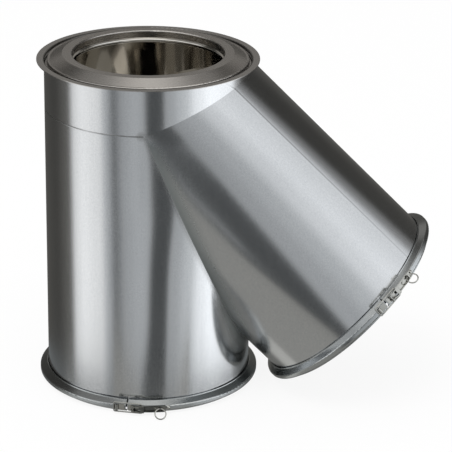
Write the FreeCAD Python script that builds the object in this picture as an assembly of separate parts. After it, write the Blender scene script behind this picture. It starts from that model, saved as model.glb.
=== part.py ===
import FreeCAD, Part
import math
import os
from FreeCAD import Placement, Rotation, Vector

# Tee: flue passage, wall build-up, and the straight casing below the crotch on the foot and the branch
BORE = 130.0
WALL = 25.0
SHEET = 0.6
BRANCH_ANGLE = 45.0
FOOT_STRAIGHT = 34.2
BRANCH_STRAIGHT = 39.7

# Joint ends: flange, pressed end rings and liner bead
FLANGE_WIDTH = 6.4
GROOVE_WIDTH = 2.0
GROOVE_DEPTH = 4.0
RING_SKIRT = 6.0
TOP_SKIRT = 1.0
RING_RISE = 4.4
RING_FACE = 8.0
NECK_DEPTH = 1.5
BEAD_HEIGHT = 3.5
BEAD_BULGE = 0.25
BEAD_WIDTH = 2.3
SEAT_GAP = 1.0
RECESS_COLLAR = 5.0

# Locking band, with its latch built at the front
FRONT = -90.0
BAND_HEIGHT = 11.4
BAND_SHEET = 0.8
CROWN_HEIGHT = 3.2
HEM = 1.0
BAND_OPENING = 1.5
LATCH_OFFSET = 0.6
BOTTOM_LATCH_TURN = -9.5
BRANCH_LATCH_TURN = 25.0

# Latch: distances along the band from the opening, and heights above the crown
LATCH_SHEET = 0.7
CATCH_START = 1.6
CATCH_REACH = 8.4
CATCH_WIDTH = 5.3
ROLL_RADIUS = 1.5
PIVOT_REACH = 5.8
PIVOT_HEIGHT = 2.9
PIN_RADIUS = 0.75
PIN_HEAD = 0.35
EAR_SPACING = 2.2
EAR_RADIUS = 1.6
FOOT_REACH = 10.0
STRAP_REACH = 38.2
STRAP_WIDTH = 3.0
STRAP_END = 2.0
RIVET_RADIUS = 1.7
RIVET_DOME = 1.2
SHANK_RADIUS = 0.8
LEVER_WIDTH = 5.6
LEVER_DEPTH = 2.4
LEVER_CLEARANCE = 0.35
HEAD_WIDTH = 6.6
ARM_HEIGHT = 2.8
BAIL_REACH = 13.6
BAIL_HEIGHT = 2.3
BAIL_WIRE = 0.6
BAIL_WIDTH = 8.4
LUG_SETBACK = 5.0
LUG_HEIGHT = 5.2
LUG_BOTTOM = 1.0
RING_RADIUS = 4.75
RING_WIRE = 0.55
RING_LEAN = 45.0
RING_OFFSET = 1.2

# Clearances
FIT = 0.1
TIGHT_FIT = 0.02
RUNNING_FIT = 0.05
PACKING_GAP = 0.3
HOOK_GAP = 0.3
RING_PLAY = 0.3
CREASE_GAP = 0.1
TIP_GAP = 0.7

# Sizes that follow from the ones above
LINER_RADIUS = BORE / 2 + SHEET
CASING_RADIUS = BORE / 2 + WALL
CASING_INSIDE = CASING_RADIUS - SHEET
WOOL_RADIUS = CASING_INSIDE - PACKING_GAP
BEND = 1.2 * SHEET
FLANGE_RADIUS = CASING_RADIUS + FLANGE_WIDTH
MITRE = math.tan(math.radians(BRANCH_ANGLE / 2))
CROSSING_HEIGHT = FOOT_STRAIGHT + CASING_RADIUS / MITRE
BRANCH_LENGTH = BRANCH_STRAIGHT + CASING_RADIUS / MITRE
TOP_HEIGHT = CROSSING_HEIGHT + WOOL_RADIUS * MITRE + CREASE_GAP + TOP_SKIRT + GROOVE_DEPTH
JOINT_HEIGHT = BAND_HEIGHT / 2
NECK_RADIUS = BORE / 2 + 1.5 * SHEET
CROWN_RADIUS = FLANGE_RADIUS + FIT + BAND_SHEET
LATCH_HEIGHT = JOINT_HEIGHT + LATCH_OFFSET
PLATE_TOP = CROWN_RADIUS + FIT + LATCH_SHEET
RIVET_REACH = STRAP_REACH - STRAP_END
LEVER_REACH = RIVET_REACH - RIVET_RADIUS - TIP_GAP
LUG_REACH = LEVER_REACH - LUG_SETBACK
BAIL_BEND = (BAIL_WIDTH - HEAD_WIDTH) / 2
SPAN = 4 * (BRANCH_LENGTH + CROSSING_HEIGHT + CASING_RADIUS)
BRANCH_FRAME = Placement(
    Vector(0, 0, CROSSING_HEIGHT)
    + Rotation(Vector(0, 1, 0), -BRANCH_ANGLE).multVec(Vector(0, 0, -BRANCH_LENGTH)),
    Rotation(Vector(0, 1, 0), -BRANCH_ANGLE))


def bent_path(points, offset, bend):
    """Edges beside a centreline at a sideways offset, with its corners bent about the same centres."""
    ways = [(b - a).normalize() for a, b in zip(points, points[1:])]
    lefts = [Vector(-way.z, 0, way.x) for way in ways]
    edges = []
    start = points[0] + lefts[0] * offset
    for corner, way, onward, left, next_left in zip(points[1:], ways, ways[1:], lefts, lefts[1:]):
        bending = way.getAngle(onward)
        inner = left.dot(onward) > 0
        radius = bend - offset if inner else bend + offset
        knee = corner + (left + next_left) * (offset / (1 + left.dot(next_left)))
        reach = radius * math.tan(bending / 2)
        middle = (onward - way).normalize()
        hub = knee + middle * (radius / math.cos(bending / 2))
        edges.append(Part.makeLine(start, knee - way * reach))
        edges.append(Part.Arc(knee - way * reach, hub - middle * radius, knee + onward * reach).toShape())
        start = knee + onward * reach
    edges.append(Part.makeLine(start, points[-1] + lefts[-1] * offset))
    return edges


def ribbon(corners, thickness, bend):
    """Section of a bent sheet whose centreline runs through the given (radius, height) corners."""
    points = [Vector(r, 0, z) for r, z in corners]
    sides = [bent_path(points, sign * thickness / 2, bend) for sign in (1, -1)]
    caps = [Part.makeLine(sides[0][i].valueAt(sides[0][i].ParameterRange[j]),
                          sides[1][i].valueAt(sides[1][i].ParameterRange[j])) for i, j in ((0, 0), (-1, 1))]
    return Part.Face(Part.Wire(Part.__sortEdges__(sides[0] + sides[1] + caps)))


def turned(face, sweep=360.0, start=0.0):
    """Solid turned about the Z axis from a section in the XZ plane."""
    solid = face.revolve(Vector(0, 0, 0), Vector(0, 0, 1), sweep)
    solid.rotate(Vector(0, 0, 0), Vector(0, 0, 1), start)
    return solid


def rectangle(x_low, x_high, z_low, z_high):
    """Rectangular section in the XZ plane."""
    corners = [(x_low, z_low), (x_high, z_low), (x_high, z_high), (x_low, z_high), (x_low, z_low)]
    return Part.Face(Part.makePolygon([Vector(x, 0, z) for x, z in corners]))


def wedge(corners):
    """Cutting block with a polygonal outline in the XZ plane, wider than the tee."""
    outline = Part.makePolygon([Vector(x, -SPAN, z) for x, z in corners + corners[:1]])
    return Part.Face(outline).extrude(Vector(0, 2 * SPAN, 0))


def leg_zones():
    """The three zones that meet along the horizontal seam and the two mitre creases."""
    hub = (0, CROSSING_HEIGHT)
    west = (-SPAN, CROSSING_HEIGHT)
    rising = (SPAN, CROSSING_HEIGHT + SPAN * MITRE)
    falling = (SPAN * MITRE, CROSSING_HEIGHT - SPAN)
    upper = wedge([west, hub, rising, (SPAN, 2 * SPAN), (-SPAN, 2 * SPAN)])
    lower = wedge([west, hub, falling, (-SPAN, CROSSING_HEIGHT - SPAN)])
    branch = wedge([hub, rising, (2 * SPAN, CROSSING_HEIGHT), falling])
    return upper, lower, branch


def three_legs(upper_section, end_section):
    """Upper, lower and branch leg of one layer, cut on the seam and creases so that they meet face to face."""
    upper_zone, lower_zone, branch_zone = leg_zones()
    end = turned(end_section)
    branch = end.copy()
    branch.Placement = BRANCH_FRAME
    return (turned(upper_section).common(upper_zone), end.common(lower_zone), branch.common(branch_zone))


def casings():
    """Casing sheets with a turned-out flange at each open end."""
    wall = CASING_RADIUS - SHEET / 2
    top = TOP_HEIGHT - SHEET / 2
    foot = JOINT_HEIGHT + SHEET / 2
    upper = ribbon([(wall, 0), (wall, top), (FLANGE_RADIUS, top)], SHEET, 2 * BEND)
    end = ribbon([(FLANGE_RADIUS, foot), (wall, foot), (wall, foot + SPAN / 2)], SHEET, 2 * BEND)
    return three_legs(upper, end)


def liners():
    """Flue pipe: rolled bead at the top, and short plain spigots that stand on the bead of the next pipe."""
    wall = BORE / 2 + SHEET / 2
    bead_top = TOP_HEIGHT - NECK_DEPTH - FIT - SHEET / 2
    bead_foot = bead_top - BEAD_HEIGHT
    ridge = wall - BEAD_BULGE
    slope = BEAD_HEIGHT / 4
    upper = ribbon([(wall, 0), (wall, bead_foot), (ridge, bead_foot + slope), (ridge, bead_top - slope),
                    (wall + slope / 2, bead_top), (wall + BEAD_WIDTH, bead_top),
                    (wall + BEAD_WIDTH, bead_top - BEAD_HEIGHT)], SHEET, BEND)
    end = rectangle(BORE / 2, LINER_RADIUS, JOINT_HEIGHT - NECK_DEPTH, SPAN / 2)
    return three_legs(upper, end)


def insulations():
    """Mineral wool between liner and casing, clear of the end rings."""
    inside = LINER_RADIUS + PACKING_GAP
    top = TOP_HEIGHT - NECK_DEPTH - BEAD_HEIGHT - 2 * SHEET - PACKING_GAP
    foot = JOINT_HEIGHT + SEAT_GAP + RING_RISE + RECESS_COLLAR + 2 * SHEET + PACKING_GAP
    return three_legs(rectangle(inside, WOOL_RADIUS, 0, top), rectangle(inside, WOOL_RADIUS, foot, SPAN / 2))


def top_end_ring():
    """Pressed ring of the top joint: skirt in the casing, groove, bead line, cone, flat face and neck."""
    skirt = CASING_INSIDE - FIT - SHEET / 2
    ridge = skirt - GROOVE_WIDTH
    groove = TOP_HEIGHT - GROOVE_DEPTH
    face = TOP_HEIGHT + RING_RISE
    neck = NECK_RADIUS + SHEET / 2
    section = ribbon([(skirt, groove - TOP_SKIRT), (skirt, groove), (ridge, groove), (ridge, TOP_HEIGHT),
                      (ridge - GROOVE_WIDTH, TOP_HEIGHT - SHEET), (neck + RING_FACE, face), (neck, face),
                      (neck, TOP_HEIGHT - NECK_DEPTH)], SHEET, BEND)
    return turned(section)


def recessed_end_ring():
    """Pressed ring of a lower joint: the recess that takes the raised face of the next pipe."""
    skirt = CASING_INSIDE - FIT - SHEET / 2
    collar = LINER_RADIUS + FIT + SHEET / 2
    seat = JOINT_HEIGHT + SEAT_GAP
    face = seat + RING_RISE + SHEET
    section = ribbon([(skirt, seat + RING_SKIRT), (skirt, seat), (skirt - GROOVE_WIDTH, seat),
                      (NECK_RADIUS + SHEET + RING_FACE, face), (collar, face), (collar, face + RECESS_COLLAR)],
                     SHEET, BEND)
    return turned(section)


def turn(reach):
    """Angle about the band's axis that a distance along its crown covers."""
    return math.degrees(reach / CROWN_RADIUS)


def along_band(shape, reach, radius=0.0):
    """Copy of a shape built at the origin with +X along the band and -Y outward, set on the band."""
    turning = Rotation(Vector(0, 0, 1), turn(reach))
    place = Placement(turning.multVec(Vector(0, -radius, LATCH_HEIGHT)), turning)
    placed = shape.copy()
    placed.Placement = place.multiply(shape.Placement)
    return placed


def arc_block(reaches, radii, heights):
    """Block that follows the band, between two reaches, two radii and two heights about the latch line."""
    section = rectangle(radii[0], radii[1], LATCH_HEIGHT + heights[0], LATCH_HEIGHT + heights[1])
    return turned(section, turn(reaches[1] - reaches[0]), FRONT + turn(reaches[0]))


def upright(radius, half_height, foot=None):
    """Round bar parallel to the band's axis."""
    low = -half_height if foot is None else foot
    return Part.makeCylinder(radius, half_height - low, Vector(0, 0, low))


def both_sides(shape):
    """The shape and its mirror image above and below the latch line."""
    return [shape, shape.mirror(Vector(0, 0, 0), Vector(0, 0, 1))]


def joined(shapes, cuts=()):
    """One solid from overlapping shapes, with the cuts taken out."""
    body = shapes[0].fuse(list(shapes[1:]))
    return body.cut(list(cuts)) if cuts else body


def rivet_shank(radius):
    """Shank through strap and band crown."""
    length = PLATE_TOP - (CROWN_RADIUS - BAND_SHEET)
    bar = Part.makeCylinder(radius, length, Vector(0, 0, 0), Vector(0, 1, 0))
    return along_band(bar, RIVET_REACH, PLATE_TOP)


def band():
    """V-section band around the flange, open at the latch, with a hole for the bracket rivet."""
    crown = CROWN_RADIUS - BAND_SHEET / 2
    hem = CASING_RADIUS + SHEET + BAND_SHEET / 2
    low = JOINT_HEIGHT - CROWN_HEIGHT / 2
    section = ribbon([(hem, 0), (hem, HEM), (crown, low), (crown, BAND_HEIGHT - low),
                      (hem, BAND_HEIGHT - HEM), (hem, BAND_HEIGHT)], BAND_SHEET, BAND_SHEET)
    strip = turned(section, 360 - turn(BAND_OPENING), FRONT + turn(BAND_OPENING / 2))
    return strip.cut(rivet_shank(SHANK_RADIUS + TIGHT_FIT))


def catch():
    """Plate on one band end whose edge is rolled to hold the bail."""
    half = CATCH_WIDTH / 2
    plate = arc_block((-CATCH_REACH, -CATCH_START), (CROWN_RADIUS + FIT, PLATE_TOP), (-half, half))
    centre = CROWN_RADIUS + FIT + ROLL_RADIUS
    roll = along_band(upright(ROLL_RADIUS, half), -CATCH_REACH, centre)
    hollow = along_band(upright(ROLL_RADIUS - LATCH_SHEET, half + SHEET), -CATCH_REACH, centre)
    return joined([plate, roll], [hollow])


def bracket():
    """Strap along the band with two ears that carry the fulcrum pin."""
    plate = (CROWN_RADIUS + FIT, PLATE_TOP)
    foot = arc_block((BAND_OPENING, FOOT_REACH), plate, (-CATCH_WIDTH / 2, CATCH_WIDTH / 2))
    strap = arc_block((BAND_OPENING, STRAP_REACH), plate, (-STRAP_WIDTH / 2, STRAP_WIDTH / 2))
    top = EAR_SPACING / 2 + LATCH_SHEET
    stem = Part.makeBox(2 * EAR_RADIUS, PIVOT_HEIGHT - FIT - LATCH_SHEET / 2, LATCH_SHEET,
                        Vector(-EAR_RADIUS, 0, EAR_SPACING / 2))
    ear = stem.fuse(upright(EAR_RADIUS, top, EAR_SPACING / 2))
    pivot = CROWN_RADIUS + PIVOT_HEIGHT
    ears = [along_band(side, PIVOT_REACH, pivot) for side in both_sides(ear)]
    hole = along_band(upright(PIN_RADIUS + TIGHT_FIT, HEAD_WIDTH), PIVOT_REACH, pivot)
    return joined([foot, strap] + ears, [hole, rivet_shank(SHANK_RADIUS + TIGHT_FIT)])


def bracket_rivet():
    """Round-headed rivet that holds the strap's far end."""
    ball = (RIVET_RADIUS ** 2 + RIVET_DOME ** 2) / (2 * RIVET_DOME)
    dome = Part.makeSphere(ball, Vector(0, ball - RIVET_DOME, 0))
    head = Part.makeCylinder(RIVET_RADIUS, RIVET_DOME, Vector(0, 0, 0), Vector(0, -1, 0)).common(dome)
    return joined([along_band(head, RIVET_REACH, PLATE_TOP), rivet_shank(SHANK_RADIUS)])


def pin():
    """Fulcrum pin with a thin head outside each lever arm."""
    arm = EAR_SPACING / 2 + 2 * LATCH_SHEET + 2 * FIT
    shank = upright(PIN_RADIUS, arm + FIT + PIN_HEAD)
    head = upright(PIN_RADIUS + PIN_HEAD, arm + FIT + PIN_HEAD, arm + FIT)
    return joined([along_band(part, PIVOT_REACH, CROWN_RADIUS + PIVOT_HEIGHT)
                   for part in [shank] + both_sides(head)])


def lever():
    """Channel lever: two arms from the fulcrum, a wider head for the bail, and a curved handle with a lug."""
    web_low = PLATE_TOP + LEVER_CLEARANCE
    web = (web_low, web_low + LATCH_SHEET)
    head_end = BAIL_REACH + BAIL_WIRE + 2 * LATCH_SHEET
    half = LEVER_WIDTH / 2
    near = EAR_SPACING / 2 + LATCH_SHEET + FIT + FIT + LATCH_SHEET / 2
    far = HEAD_WIDTH / 2 - LATCH_SHEET / 2
    middle = (PIVOT_REACH + BAIL_REACH) / 2
    radius = CROWN_RADIUS + PIVOT_HEIGHT
    start = PIVOT_REACH - middle
    outline = ribbon([(start, near), (start + EAR_RADIUS + LATCH_SHEET, near),
                      (BAIL_REACH - middle - EAR_RADIUS, far), (head_end - middle, far)], LATCH_SHEET, LATCH_SHEET)
    arm = outline.extrude(Vector(0, ARM_HEIGHT, 0))
    arm.translate(Vector(0, -ARM_HEIGHT / 2, 0))
    arms = [along_band(side, middle, radius) for side in both_sides(arm)]
    nose = upright(ARM_HEIGHT / 2, near + LATCH_SHEET / 2, near - LATCH_SHEET / 2)
    noses = [along_band(side, PIVOT_REACH, radius) for side in both_sides(nose)]
    rim = web_low + LEVER_DEPTH
    flanges = [arc_block((head_end - LATCH_SHEET, LEVER_REACH), (web_low, rim), sides)
               for sides in ((half - LATCH_SHEET, half), (-half, LATCH_SHEET - half))]
    floor = arc_block((head_end - LATCH_SHEET, LEVER_REACH), web, (-half, half))
    crest = radius + ARM_HEIGHT / 2
    bridge = arc_block((BAIL_REACH - 2 * BAIL_WIRE, head_end - FIT), (crest - 1.5 * LATCH_SHEET, crest - FIT),
                       (-far, far))
    lug_height = CROWN_RADIUS + LUG_HEIGHT + RING_WIRE + RING_PLAY + LATCH_SHEET - web_low
    lug = Part.makeBox(LATCH_SHEET, lug_height, half + LUG_BOTTOM, Vector(-LATCH_SHEET / 2, -lug_height, -LUG_BOTTOM))
    cuts = [along_band(upright(PIN_RADIUS + RUNNING_FIT, HEAD_WIDTH), PIVOT_REACH, radius),
            along_band(upright(BAIL_WIRE + RUNNING_FIT, HEAD_WIDTH), BAIL_REACH, CROWN_RADIUS + BAIL_HEIGHT),
            along_band(Part.makeCylinder(RING_WIRE + RING_PLAY, 2 * LATCH_SHEET,
                                         Vector(-LATCH_SHEET, 0, RING_OFFSET), Vector(1, 0, 0)),
                       LUG_REACH, CROWN_RADIUS + LUG_HEIGHT)]
    return joined(arms + noses + flanges + [floor, bridge, along_band(lug, LUG_REACH, web_low)], cuts)


def band_point(reach, radius):
    """Point on the latch line at a reach along the band and a radius from its axis."""
    return Rotation(Vector(0, 0, 1), turn(reach)).multVec(Vector(0, -radius, LATCH_HEIGHT))


def bail_ends():
    """Axis points of the bail's bar in the lever and of its bar behind the catch."""
    roll = band_point(-CATCH_REACH, CROWN_RADIUS + FIT + ROLL_RADIUS)
    outward = Vector(roll.x, roll.y, 0).normalize()
    beside = Vector(outward.y, -outward.x, 0)
    return (band_point(BAIL_REACH, CROWN_RADIUS + BAIL_HEIGHT),
            roll + beside * (ROLL_RADIUS + HOOK_GAP + BAIL_WIRE) - outward * HOOK_GAP)


def bail():
    """Wire loop from the lever's head around the catch."""
    hinge_end, catch_end = bail_ends()
    way = catch_end - hinge_end
    length = way.Length
    half = BAIL_WIDTH / 2
    near, far = BAIL_BEND, length - BAIL_BEND
    diagonal = BAIL_BEND * (1 - math.sqrt(0.5))
    corners = [((0, near - half), (diagonal, diagonal - half), (near, -half)),
               ((far, -half), (length - diagonal, diagonal - half), (length, near - half)),
               ((length, half - near), (length - diagonal, half - diagonal), (far, half)),
               ((near, half), (diagonal, half - diagonal), (0, half - near))]
    path = []
    for here, following in zip(corners, corners[1:] + corners[:1]):
        bend = [Vector(x, 0, z) for x, z in here]
        path.append(Part.Arc(*bend).toShape())
        path.append(Part.makeLine(bend[2], Vector(following[0][0], 0, following[0][1])))
    start = Vector(far, 0, -half)
    circle = Part.Wire(Part.makeCircle(BAIL_WIRE, start, Vector(1, 0, 0)))
    loop = Part.Wire(Part.__sortEdges__(path)).makePipeShell([circle], True, True)
    loop.Placement = Placement(hinge_end, Rotation(Vector(1, 0, 0), way))
    return loop


def ring_hinge():
    """Point on the ring's wire where it passes through the lug, and the direction along the wire there."""
    point = band_point(LUG_REACH, CROWN_RADIUS + LUG_HEIGHT) + Vector(0, 0, RING_OFFSET)
    return point, Rotation(Vector(0, 0, 1), turn(LUG_REACH)).multVec(Vector(1, 0, 0))


def ring():
    """Wire ring through the lug, leaning outward from straight down."""
    point, along = ring_hinge()
    hanging = Rotation(along, -RING_LEAN).multVec(Vector(0, 0, -1))
    return Part.makeTorus(RING_RADIUS, RING_WIRE, point + hanging * RING_RADIUS, along.cross(hanging))


def export(name, shape):
    """Write one solid, checked and freed from its placement."""
    solids = shape.Solids
    if len(solids) != 1 or not solids[0].isValid():
        raise ValueError("%s has %d solids" % (name, len(solids)))
    solids[0].exportStep(os.path.join("parts", name + ".step"))


def main():
    os.makedirs("parts", exist_ok=True)
    for layer, legs in (("casing", casings()), ("liner", liners()), ("insulation", insulations())):
        for leg, shape in zip(("upper", "lower", "branch"), legs):
            export("%s_%s" % (layer, leg), shape)
    export("top_end_ring", top_end_ring())
    closure = [("end_ring", recessed_end_ring(), False), ("band", band(), True), ("catch", catch(), True),
               ("bracket", bracket(), True), ("bracket_rivet", bracket_rivet(), True), ("pin", pin(), True),
               ("lever", lever(), True), ("bail", bail(), True), ("ring", ring(), True)]
    frames = (("bottom", Placement(), BOTTOM_LATCH_TURN), ("branch", BRANCH_FRAME, BRANCH_LATCH_TURN))
    for end, frame, latch_turn in frames:
        spin = Placement(Vector(0, 0, 0), Rotation(Vector(0, 0, 1), latch_turn))
        for name, shape, turns_with_latch in closure:
            placed = shape.copy()
            place = frame.multiply(spin) if turns_with_latch else frame
            placed.Placement = place.multiply(shape.Placement)
            export("%s_%s" % (end, name), placed)


main()
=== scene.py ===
import math

import bpy
from mathutils import Matrix, Vector


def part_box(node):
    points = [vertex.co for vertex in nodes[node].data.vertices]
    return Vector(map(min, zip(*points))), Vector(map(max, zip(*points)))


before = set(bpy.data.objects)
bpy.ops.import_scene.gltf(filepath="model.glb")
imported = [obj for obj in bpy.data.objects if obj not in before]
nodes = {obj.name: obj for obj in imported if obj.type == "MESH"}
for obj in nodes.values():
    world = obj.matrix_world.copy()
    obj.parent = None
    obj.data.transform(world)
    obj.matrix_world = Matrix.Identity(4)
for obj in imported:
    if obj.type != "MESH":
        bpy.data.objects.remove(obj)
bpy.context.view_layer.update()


# The casing: three legs of bright rolled stainless sheet, 0.6 mm thick, welded edge to edge along the
# horizontal seam and the two mitre creases. The sheet has a fine mottled grain from the rolling mill, foot
# and branch have a lengthwise weld each, and beside the lower crease the sheet is drawn in and dull. Its
# colour also carries painted shade along the lower crease and in a strip beside it on the branch, and a
# painted dark reflection in the bend of the top lip.
class Value:
    """A node's output that takes part in sums, so that shader maths reads as plain Python."""

    def __init__(self, tree, socket):
        self.tree = tree
        self.socket = socket

    def node(self, kind, sockets=None, output=0, stops=(), **settings):
        """A new node: its settings and a ramp's stops come first, then its sockets' values or links."""
        made = self.tree.nodes.new(kind)
        for name, setting in settings.items():
            setattr(made, name, setting)
        if stops:
            made.color_ramp.interpolation = "EASE"
            while len(made.color_ramp.elements) < len(stops):
                made.color_ramp.elements.new(0.5)
            for element, (position, colour) in zip(made.color_ramp.elements, stops):
                element.position = position
                element.color = colour
        for name, value in (sockets or {}).items():
            if isinstance(value, Value):
                self.tree.links.new(value.socket, made.inputs[name])
            else:
                made.inputs[name].default_value = value
        return Value(self.tree, made.outputs[output])

    def math(self, operation, first, second=0.0):
        return self.node("ShaderNodeMath", {0: first, 1: second}, operation=operation)

    def vector(self, operation, other=(0.0, 0.0, 0.0), output=0):
        return self.node("ShaderNodeVectorMath", {0: self, 1: other}, output, operation=operation)

    def __add__(self, other):
        return self.math("ADD", self, other)

    def __sub__(self, other):
        return self.math("SUBTRACT", self, other)

    def __mul__(self, other):
        return self.math("MULTIPLY", self, other)

    def __truediv__(self, other):
        return self.math("DIVIDE", self, other)

    def __radd__(self, other):
        return self.math("ADD", other, self)

    def __rsub__(self, other):
        return self.math("SUBTRACT", other, self)

    def __rmul__(self, other):
        return self.math("MULTIPLY", other, self)

    def __rtruediv__(self, other):
        return self.math("DIVIDE", other, self)

    def __abs__(self):
        return self.math("ABSOLUTE", self)

    def __neg__(self):
        return self.math("MULTIPLY", self, -1.0)

    def least(self, other):
        return self.math("MINIMUM", self, other)

    def most(self, other):
        return self.math("MAXIMUM", self, other)

    def rise(self, low, high):
        """0 below low, 1 above high and a smooth step between them; falls where low is above high."""
        if low > high:
            return 1.0 - self.rise(high, low)
        return self.node("ShaderNodeMapRange", {0: self, 1: low, 2: high}, interpolation_type="SMOOTHSTEP")

    def line(self, width):
        """1 where the value is 0, falling to 0 at the width on both sides."""
        return abs(self).rise(width, 0.0)

    def xyz(self):
        return tuple(self.node("ShaderNodeSeparateXYZ", {0: self}, axis) for axis in range(3))

    def dot(self, direction):
        return self.vector("DOT_PRODUCT", direction, output=1)

    def stretched(self, scale):
        return self.vector("MULTIPLY", scale)

    def noise(self, scale, detail=2.0, roughness=0.5):
        """Noise around 0, about -0.5 to 0.5."""
        sockets = {"Vector": self, "Scale": scale, "Detail": detail, "Roughness": roughness}
        return self.node("ShaderNodeTexNoise", sockets) - 0.5

    def mixed(self, colour, other):
        """The colour where the value is 0 and the other where it is 1."""
        first, second = (tone if isinstance(tone, Value) else (*tone, 1.0) for tone in (colour, other))
        return self.node("ShaderNodeMix", {0: self, 6: first, 7: second}, 2, data_type="RGBA")


def new_finish(name, metallic=1.0):
    """A finish of the tee: its material, its Principled shader, and the point on the object in metres."""
    material = bpy.data.materials.new(name)
    material.use_nodes = True
    shader = material.node_tree.nodes["Principled BSDF"]
    shader.inputs["Metallic"].default_value = metallic
    point = Value(material.node_tree, None).node("ShaderNodeTexCoord", output="Object")
    return material, shader, point


def feed(shader, colour, rough, relief, facing=None):
    """Link the colour, the roughness and the relief in metres, which becomes a bump on the given facing."""
    bump = {"Strength": 1.0, "Distance": 1.0, "Height": relief}
    if facing is not None:
        bump["Normal"] = facing
    normal = relief.node("ShaderNodeBump", bump)
    for name, value in (("Base Color", colour), ("Roughness", rough), ("Normal", normal)):
        relief.tree.links.new(value.socket, shader.inputs[name])


def put_on(material, *names):
    for name in names:
        nodes[name].data.materials.clear()
        nodes[name].data.materials.append(material)


# Levels of the crossing and the lip, and the directions square to the lower crease and across the branch
BRANCH_ANGLE = math.radians(45)
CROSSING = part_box("liner_upper")[0].z
LIP_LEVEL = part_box("casing_upper")[1].z
PAST_CREASE = Vector((math.cos(BRANCH_ANGLE / 2), 0, math.sin(BRANCH_ANGLE / 2)))
ACROSS_BRANCH = Vector((math.cos(BRANCH_ANGLE), 0, math.sin(BRANCH_ANGLE)))

# Welds, and the radii of the painted dark reflection in the bend where the top lip turns outwards
SEAM_HALF = 0.0010
CREASE_HALF = 0.0045
WELD_HALF = 0.0011
WELD_ACROSS = 0.0740
TACK_X = -0.003
TACK_RADIUS = 0.0055
BEND_INNER = 0.0901
BEND_OUTER = 0.0913

# How far the crease's weld draws the sheet in on the foot, and the half width of the step at the weld
PULL_REACH = 0.024
STEP = 0.0003

# Colours of the sheet, of its marks, of the painted shade by the crease and of the painted reflection in the
# lip's bend
SHEET_DULL = (0.56, 0.575, 0.59)
SHEET_BRIGHT = (0.72, 0.73, 0.735)
WELD_AND_CREASE_SHADE_GREY = (0.40, 0.40, 0.39)
DRAWN_STRIP_SHADE_GREY = (0.37, 0.41, 0.42)
SEAM_DARK = (0.14, 0.135, 0.13)
LIP_GREY = (0.50, 0.48, 0.455)
BEND_REFLECTION_DARK = (0.12, 0.115, 0.105)


def drawn_in(x, height, past):
    """The sheet's facing beside the lower crease: it leans left on the foot, and down on the branch."""
    pull = past.math("POWER", math.e, past / PULL_REACH).least(1.0)
    pull = pull * height.rise(0.02, -0.075) * height.rise(-0.17, -0.03) * x.rise(-0.004, 0.002)
    broad = height.rise(-0.04, -0.09) * height.rise(-0.34, -0.12) * x.rise(-0.03, 0.0) * x.rise(0.06, 0.01)
    below = height.rise(STEP, -STEP)
    on_foot = (pull * 0.105 + broad * 0.035) * below * past.rise(STEP, -STEP)
    on_branch = past.rise(-STEP, STEP) * below * height.rise(0.0, -0.012)
    lowered = (past.rise(0.016, 0.004) * 0.10 + past.rise(0.040, 0.008) * 0.055) * on_branch
    turned = past.rise(0.045, 0.012) * 0.028 * on_branch
    lean = x.node("ShaderNodeCombineXYZ", {0: turned - on_foot, 2: -lowered})
    return x.node("ShaderNodeNewGeometry", output="Normal").vector("ADD", lean).vector("NORMALIZE")


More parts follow.
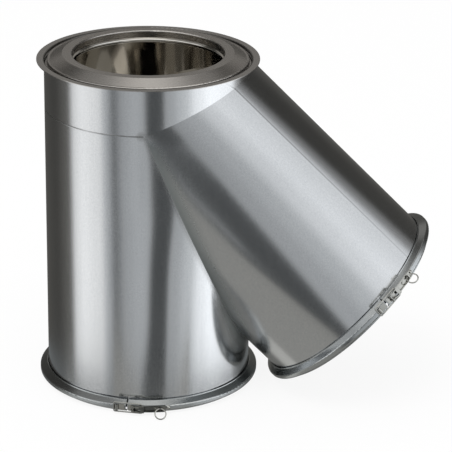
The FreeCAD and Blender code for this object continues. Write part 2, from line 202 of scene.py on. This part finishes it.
def casing_sheet():
    material, shader, point = new_finish("casing_sheet")
    x, y, z = point.xyz()
    height = z - CROSSING
    past = point.dot(PAST_CREASE) - CROSSING * PAST_CREASE.z
    across = point.dot(ACROSS_BRANCH) - CROSSING * ACROSS_BRANCH.z
    mottle = point.noise(760.0, 3.0, 0.65)
    cloud = point.noise(18.0)
    streak = point.stretched((55.0, 55.0, 3.0)).noise(14.0)
    uneven = point.noise(90.0)

    # Where the welds, the drawn sheet and the lip are, and where shade and the lip's bend reflection are
    # painted
    seam = height.line(SEAM_HALF) * x.rise(0.0, -0.002) * (0.75 + uneven)
    crease = past.line(CREASE_HALF) * height.rise(0.001, -0.002) * x.rise(-0.002, 0.0)
    tack = (height * height + (x - TACK_X) * (x - TACK_X)).rise(TACK_RADIUS ** 2, 0.0) * (0.6 + uneven)
    branch_weld = (across - WELD_ACROSS).line(WELD_HALF) * past.rise(0.0, 0.004)
    branch_weld = branch_weld * x.rise(0.02, 0.05) * y.rise(0.0, -0.01)
    foot_weld = x.line(WELD_HALF) * y.rise(0.0, 0.01) * past.rise(0.0, -0.004)
    on_branch = past.rise(-0.001, 0.001)
    # Painted shade: a dark strip on the branch beside the lower crease, also rougher where the sheet is
    # drawn in
    drawn_and_shaded_strip = past.rise(0.016, 0.0) * on_branch * height.rise(0.001, -0.01) * x.rise(-0.004, 0.002)
    dull = past.rise(0.045, 0.015) * on_branch * height.rise(0.001, -0.012)
    lip = z.rise(LIP_LEVEL - 0.002, LIP_LEVEL - 0.001)
    # Painted reflection: the rounded bend inside the lip is painted dark, as it would mirror dark
    # surroundings
    bend_reflection = lip * (x * x + y * y).rise(BEND_OUTER ** 2, BEND_INNER ** 2)

    colour = (0.5 + mottle * 1.25 + cloud * 0.3 + streak * 0.35).mixed(SHEET_DULL, SHEET_BRIGHT)
    # The lower crease's weld is painted darker as shade in the concave corner; the tack is a weld mark
    colour = (crease * 0.4 + tack * 0.45).mixed(colour, WELD_AND_CREASE_SHADE_GREY)
    colour = (drawn_and_shaded_strip * 0.8).mixed(colour, DRAWN_STRIP_SHADE_GREY)
    colour = (seam * 0.8).mixed(colour, SEAM_DARK)
    colour = (lip * 0.8).mixed(colour, LIP_GREY)
    colour = (bend_reflection * 0.85).mixed(colour, BEND_REFLECTION_DARK)
    rough = 0.165 + lip * 0.08 + mottle * 0.10 + cloud * 0.02 + streak * 0.03 + crease * 0.1 + drawn_and_shaded_strip * 0.1
    rough = rough + tack * 0.2 + seam * 0.25 + dull * 0.06
    relief = mottle * 0.000006 + cloud * 0.00008 - seam * 0.00012 + tack * uneven * 0.0004
    relief = relief + (branch_weld + foot_weld) * 0.00007
    feed(shader, colour, rough, relief, drawn_in(x, height, past))
    return material


put_on(casing_sheet(), "casing_upper", "casing_lower", "casing_branch")


# The flue liner: polished stainless sheet in three mitred pieces like the casing, with a rolled bead at
# the top that carries the next pipe's spigot. It is close to a mirror, with faint lengthwise polish lines,
# and a painted highlight along the bead's crown.
BEAD_HALF = 0.0022
BEAD_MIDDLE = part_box("liner_upper")[1].z - BEAD_HALF
LINER_DULL = (0.55, 0.525, 0.48)
LINER_BRIGHT = (0.66, 0.635, 0.595)
BEAD_HIGHLIGHT = (0.80, 0.78, 0.74)


def liner_sheet():
    material, shader, point = new_finish("liner_sheet")
    polish = point.stretched((900.0, 900.0, 30.0)).noise(1.0)
    wave = point.noise(26.0, 1.0)
    crown = (point.xyz()[2] - BEAD_MIDDLE).line(BEAD_HALF)
    colour = (0.5 + wave).mixed(LINER_DULL, LINER_BRIGHT)
    # Painted highlight: the bead's crown is painted brighter, besides the bump that rounds it
    colour = (crown * 0.9).mixed(colour, BEAD_HIGHLIGHT)
    rough = 0.085 + polish * 0.05 + wave * 0.03
    feed(shader, colour, rough, polish * 0.0000012 + wave * 0.00022 + crown * 0.0009)
    return material


put_on(liner_sheet(), "liner_upper", "liner_lower", "liner_branch")


# The insulation: mineral wool packed between liner and casing, yellow-brown and fibrous. The end rings
# close it in, so it only shows if a leg is taken apart.
WOOL_BROWN = (0.36, 0.29, 0.15)
WOOL_YELLOW = (0.72, 0.66, 0.46)


def mineral_wool():
    material, shader, point = new_finish("mineral_wool", metallic=0.0)
    fibre = point.stretched((1.0, 1.0, 6.0)).noise(420.0, 4.0, 0.7)
    tuft = point.noise(60.0, 3.0)
    colour = (0.5 + fibre * 1.2 + tuft * 0.5).mixed(WOOL_BROWN, WOOL_YELLOW)
    feed(shader, colour, 0.9 + fibre * 0.1, fibre * 0.0006 + tuft * 0.001)
    return material


put_on(mineral_wool(), "insulation_upper", "insulation_lower", "insulation_branch")


# The end rings: pressed from satin stainless sheet. The top one is raised, with a groove, a bead line, a
# cone and a flat face round the neck; the two lower ones are the recesses that take such a face.
RING_DULL = (0.49, 0.47, 0.445)
RING_BRIGHT = (0.60, 0.575, 0.55)


def end_ring_sheet():
    material, shader, point = new_finish("end_ring_sheet")
    x, y, z = point.xyz()
    square = x * x + y * y
    radius = square.math("SQRT", square)
    turned = {0: radius * 3000.0, 1: x.math("ARCTAN2", y, x) * 3.0, 2: z * 3000.0}
    brushed = x.node("ShaderNodeCombineXYZ", turned).noise(1.0)
    grain = point.noise(700.0)
    cloud = point.noise(24.0)
    colour = (0.5 + grain * 0.9 + cloud * 0.3).mixed(RING_DULL, RING_BRIGHT)
    feed(shader, colour, 0.27 + brushed * 0.08 + cloud * 0.03, grain * 0.000006 + brushed * 0.000003)
    return material


put_on(end_ring_sheet(), "top_end_ring", "bottom_end_ring", "branch_end_ring")


# The locking bands: V-section strips of smooth rolled steel, pressed over the flanges of the foot and the
# branch, with the small marks that handling and the forming rolls leave along them.
BAND_DULL = (0.46, 0.48, 0.485)
BAND_BRIGHT = (0.55, 0.57, 0.575)


def band_steel():
    material, shader, point = new_finish("band_steel")
    grain = point.noise(900.0)
    cloud = point.noise(40.0)
    colour = (0.5 + cloud * 0.3 + grain * 0.5).mixed(BAND_DULL, BAND_BRIGHT)
    feed(shader, colour, 0.20 + cloud * 0.03 + grain * 0.04, grain * 0.000002 + cloud * 0.000008)
    return material


put_on(band_steel(), "bottom_band", "branch_band")


# The over-centre latches: zinc-plated pressed steel and wire, faintly yellow, with painted shade darkening
# the crevices. Each has a catch, a bracket with a rivet and a pin, a channel lever, a wire bail and a pull
# ring.
LATCH_PIECES = ("catch", "bracket", "bracket_rivet", "pin", "lever", "bail", "ring")
CREVICE = 0.0035
ZINC_DULL = (0.41, 0.41, 0.38)
ZINC_BRIGHT = (0.56, 0.56, 0.53)
CREVICE_SHADE_DARK = (0.07, 0.075, 0.08)


def latch_steel():
    material, shader, point = new_finish("latch_steel")
    grain = point.noise(1500.0)
    cloud = point.noise(160.0)
    # Painted shade: ambient occlusion darkens the colour in the crevices
    crevice_shade = 1.0 - point.node("ShaderNodeAmbientOcclusion", {"Distance": CREVICE}, output=1)
    colour = (0.5 + cloud + grain * 0.4).mixed(ZINC_DULL, ZINC_BRIGHT)
    colour = crevice_shade.rise(0.25, 0.75).mixed(colour, CREVICE_SHADE_DARK)
    feed(shader, colour, 0.11 + cloud * 0.06 + grain * 0.04, grain * 0.000004 + cloud * 0.00003)
    return material


latch = latch_steel()
for end in ("bottom", "branch"):
    put_on(latch, *(end + "_" + piece for piece in LATCH_PIECES))


# The studio: a matt pale floor in a white surround, and round it a wall of grey and white cards between an
# underside and a ceiling, with a dark screen near the camera. The cards are lit evenly and merged at their
# edges. Only the metal sees them, and they cast no shadow.
WHITE = (1.0, 1.0, 1.0, 1.0)
FLOOR_SIZE = 60.0
FLOOR_PALE = (0.86, 0.86, 0.86, 1.0)
FLOOR_GLOW = 1.03
FLOOR_WHITENESS = 0.86


def bare(name):
    """A material with no shader yet, a value to start its nodes from, and its surface socket."""
    material = bpy.data.materials.new(name)
    material.use_nodes = True
    tree = material.node_tree
    tree.nodes.remove(tree.nodes["Principled BSDF"])
    return material, Value(tree, None), tree.nodes["Material Output"].inputs[0]


def looked_at(start):
    """1 for what the camera sees, also in metal or through glass, and 0 for what gives light."""
    rays = [start.node("ShaderNodeLightPath", output="Is %s Ray" % kind)
            for kind in ("Camera", "Glossy", "Transmission")]
    return rays[0].most(rays[1]).most(rays[2])


def floor_paint():
    """A matt pale floor, which the camera sees as white with a light shadow."""
    material, start, surface = bare("floor")
    matt = start.node("ShaderNodeBsdfDiffuse", {"Color": FLOOR_PALE})
    white = start.node("ShaderNodeEmission", {"Color": WHITE, "Strength": FLOOR_GLOW})
    mix = start.node("ShaderNodeMixShader", {0: looked_at(start) * FLOOR_WHITENESS, 1: matt, 2: white})
    start.tree.links.new(mix.socket, surface)
    return material


bpy.ops.mesh.primitive_plane_add(size=FLOOR_SIZE)
floor = bpy.context.active_object
floor.name = "floor"
floor.data.materials.append(floor_paint())
floor.visible_glossy = False

# The wall, and the turn per metre by which its cards lean away from their angle at the upright level
WALL_RADIUS = 1.12
WALL_LOW = -0.5
WALL_HIGH = 1.35
WALL_MIDDLE = (WALL_LOW + WALL_HIGH) / 2
WALL_SIDES = 128
UPRIGHT_LEVEL = 0.175
LEAN = 0.022

# Each card's angle in degrees from the tee's front to its right, its tone and its tint
BRIGHTEST = 2.0
WARM = (1.0, 0.97, 0.90)
COOL = (0.965, 0.995, 1.02)
PLAIN = (1.0, 1.0, 1.0)
FRESH = (0.98, 1.0, 1.025)
CARDS = (
    (-180, 0.14, WARM), (-150, 0.08, WARM), (-122, 0.07, WARM), (-97, 0.14, WARM), (-86, 1.0, PLAIN),
    (-76, 1.16, PLAIN), (-55, 1.02, PLAIN), (-46, 0.56, COOL), (-37, 0.19, COOL), (-27, 0.46, COOL),
    (-14, 0.55, COOL), (4, 0.50, COOL), (22, 0.50, COOL), (38, 0.72, COOL), (54, 1.24, FRESH),
    (70, 1.52, FRESH), (99, 1.36, FRESH), (111, 0.40, PLAIN), (122, 0.08, WARM), (138, 0.08, WARM),
    (160, 0.12, WARM))
BACK_CARD = (0.215, 0.207, 0.197)
TOP_CARD = (0.9, 0.9, 0.9)
FOOT_CARD = (0.075, 0.08, 0.082)


def wall_cards():
    material, start, surface = bare("studio_wall")
    x, y, z = start.node("ShaderNodeTexCoord", output="Object").xyz()
    height = z + WALL_MIDDLE
    turn = x.math("ARCTAN2", x, -y) / (2 * math.pi) + 0.5 + (height - UPRIGHT_LEVEL) * LEAN
    stops = [((angle + 180) / 360, (*(tone * part / BRIGHTEST for part in tint), 1.0))
             for angle, tone, tint in CARDS]
    tone = start.node("ShaderNodeValToRGB", {0: turn}, stops=stops)
    tone = (y.rise(0.90, 1.04) * height.rise(0.50, 0.60) * height.rise(1.05, 0.90)).mixed(tone, BACK_CARD)
    tone = ((-y).rise(0.3, 0.7) * height.rise(0.80, 1.0)).mixed(tone, TOP_CARD)
    tone = height.rise(-0.44, -0.465).mixed(tone, FOOT_CARD)
    light = BRIGHTEST + height.rise(-0.10, -0.30) * 0.14 - height.rise(-0.125, 0.775) * 0.70
    glow = start.node("ShaderNodeEmission", {"Color": tone.stretched(light), "Strength": 1.0})
    start.tree.links.new(glow.socket, surface)
    return material


def seen_in_metal_only(made):
    made.visible_camera = False
    made.visible_diffuse = False
    made.visible_shadow = False


bpy.ops.mesh.primitive_cylinder_add(vertices=WALL_SIDES, radius=WALL_RADIUS, depth=WALL_HIGH - WALL_LOW,
                                    end_fill_type="NOTHING", location=(0, 0, WALL_MIDDLE))
wall = bpy.context.active_object
wall.name = "studio_wall"
wall.data.materials.append(wall_cards())
seen_in_metal_only(wall)

# The underside, with a light patch at the back left, and the ceiling, bright over the tee and in front of it
UNDERSIDE_TINT = (1.0, 0.99, 0.94)
CEILING_TINT = (1.0, 0.985, 0.96)
SPOT_Y = 0.42


def underside_light(x, y):
    patch = y.rise(0.0, 0.02) * y.rise(0.35, 0.22) * x.rise(-0.08, -0.11)
    return 0.34 + patch * 0.24 - y.rise(0.02, 0.12) * (1.0 - patch) * 0.17


def ceiling_light(x, y):
    spot = (x * x + (y - SPOT_Y) * (y - SPOT_Y)).rise(0.16, 0.01)
    return 0.28 + spot * 0.42 + (x * x + y * y).rise(0.12, 0.02) * 0.6 + y.rise(-0.1, -0.4) * 0.85


for name, level, tint, light in (("studio_underside", WALL_LOW, UNDERSIDE_TINT, underside_light),
                                 ("studio_ceiling", WALL_HIGH, CEILING_TINT, ceiling_light)):
    bpy.ops.mesh.primitive_circle_add(vertices=WALL_SIDES, radius=WALL_RADIUS, fill_type="NGON",
                                      location=(0, 0, level))
    disc = bpy.context.active_object
    disc.name = name
    material, start, surface = bare(name)
    x, y = start.node("ShaderNodeTexCoord", output="Object").xyz()[:2]
    glow = start.node("ShaderNodeEmission", {"Color": light(x, y).stretched(tint), "Strength": 1.0})
    start.tree.links.new(glow.socket, surface)
    disc.data.materials.append(material)
    seen_in_metal_only(disc)

# The screen near the camera: a dark upright panel above a grey table edge, clear beside them
SCREEN_SIZE = 1.2
SCREEN_PLACE = (0.10, -0.69, -0.1)
SCREEN_DARK = (0.09, 0.094, 0.096)
TABLE_GREY = (0.335, 0.33, 0.312)


def screen_card():
    material, start, surface = bare("camera_screen")
    x, y = start.node("ShaderNodeTexCoord", output="Object").xyz()[:2]
    panel = (x + y.rise(-0.09, -0.16) * 0.08).rise(-0.16, -0.085) * x.rise(0.145, 0.10)
    table = (y - x.rise(-0.10, -0.20) * 0.06).rise(-0.185, -0.235)
    tone = (panel * (1.0 - y.rise(-0.185, -0.235))).mixed(TABLE_GREY, SCREEN_DARK)
    clear = start.node("ShaderNodeBsdfTransparent")
    glow = start.node("ShaderNodeEmission", {"Color": tone, "Strength": 1.0})
    mix = start.node("ShaderNodeMixShader", {0: panel.most(table), 1: clear, 2: glow})
    start.tree.links.new(mix.socket, surface)
    return material


bpy.ops.mesh.primitive_plane_add(size=SCREEN_SIZE, location=SCREEN_PLACE, rotation=(math.radians(90), 0, 0))
screen = bpy.context.active_object
screen.name = "camera_screen"
screen.data.materials.append(screen_card())
seen_in_metal_only(screen)


# The light: an even white surround, a little weaker as light than as it is seen, and one large soft panel
# above and in front of the tee. The metal doesn't mirror the panel.
SURROUND_LIGHT = 0.8
PANEL_PLACE = Vector((-0.4, -0.9, 2.2))
PANEL_AIM = Vector((0.05, 0.0, 0.12))
PANEL_SIZE = 1.4
PANEL_POWER = 14.0

world = bpy.data.worlds.new("surround")
world.use_nodes = True
background = world.node_tree.nodes["Background"]
background.inputs["Color"].default_value = WHITE
strength = SURROUND_LIGHT + looked_at(Value(world.node_tree, None)) * (1.0 - SURROUND_LIGHT)
world.node_tree.links.new(strength.socket, background.inputs["Strength"])
bpy.context.scene.world = world

panel_data = bpy.data.lights.new("overhead_panel", "AREA")
panel_data.shape = "DISK"
panel_data.size = PANEL_SIZE
panel_data.energy = PANEL_POWER
panel = bpy.data.objects.new("overhead_panel", panel_data)
panel.location = PANEL_PLACE
panel.rotation_euler = (PANEL_AIM - PANEL_PLACE).to_track_quat("-Z", "Y").to_euler()
panel.visible_glossy = False
bpy.context.scene.collection.objects.link(panel)


# The camera stands where the photograph was taken from, in front of the tee and a little above it, turned
# slightly about its long lens.
ELEVATION = math.radians(20.992)
ROLL = math.radians(0.636)
AIM = Vector((0.068561, 0.0, 0.13858))
DISTANCE = 2.14146
SENSOR_WIDTH = 36.0
LENS = 192.82
CLIP_NEAR = 0.05
CLIP_FAR = 200.0

back = Vector((0.0, -math.cos(ELEVATION), math.sin(ELEVATION)))
camera_data = bpy.data.cameras.new("camera")
camera_data.sensor_width = SENSOR_WIDTH
camera_data.lens = LENS
camera_data.clip_start = CLIP_NEAR
camera_data.clip_end = CLIP_FAR
camera = bpy.data.objects.new("camera", camera_data)
camera.matrix_world = (Matrix.Translation(AIM + back * DISTANCE)
                       @ Matrix.Rotation(math.radians(90) - ELEVATION, 4, "X")
                       @ Matrix.Rotation(ROLL, 4, "Z"))
bpy.context.scene.collection.objects.link(camera)
bpy.context.scene.camera = camera
bpy.context.scene.view_settings.view_transform = "Standard"
